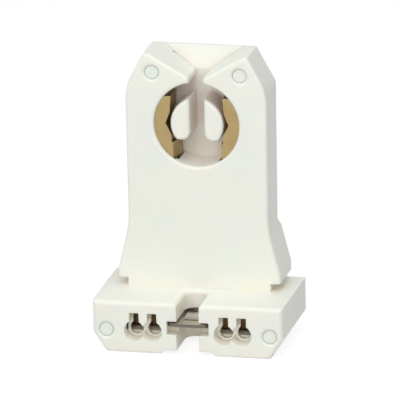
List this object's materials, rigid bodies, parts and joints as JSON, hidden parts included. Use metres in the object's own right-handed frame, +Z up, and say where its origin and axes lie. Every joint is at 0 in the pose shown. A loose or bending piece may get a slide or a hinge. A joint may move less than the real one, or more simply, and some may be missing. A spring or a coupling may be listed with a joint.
{
  "type": "fluorescent lamp holder",
  "caption": "Pedestal lamp holder for a two-pin fluorescent tube, with a funnel and turn track above a slotted screw foot with push-in wire entries.",
  "frame": {"origin": "middle of the underside of the foot, halfway along its width and depth", "axes": "+Z up from the foot to the funnel, -Y out of the lamp side, +X to the right of someone who looks at the lamp side"},
  "size_m": [0.0368, 0.0204, 0.0558],
  "materials": {
    "white_plastic": "satin",
    "cover_plastic": "satin",
    "contact_brass": "rolled strip",
    "nut_steel": "dull spring steel"
  },
  "bodies": {
    "root": {"front_housing": "white_plastic", "rear_cover": "cover_plastic", "contact_left": "contact_brass", "contact_right": "contact_brass", "speed_nut": "nut_steel"}
  },
  "joints": []
}
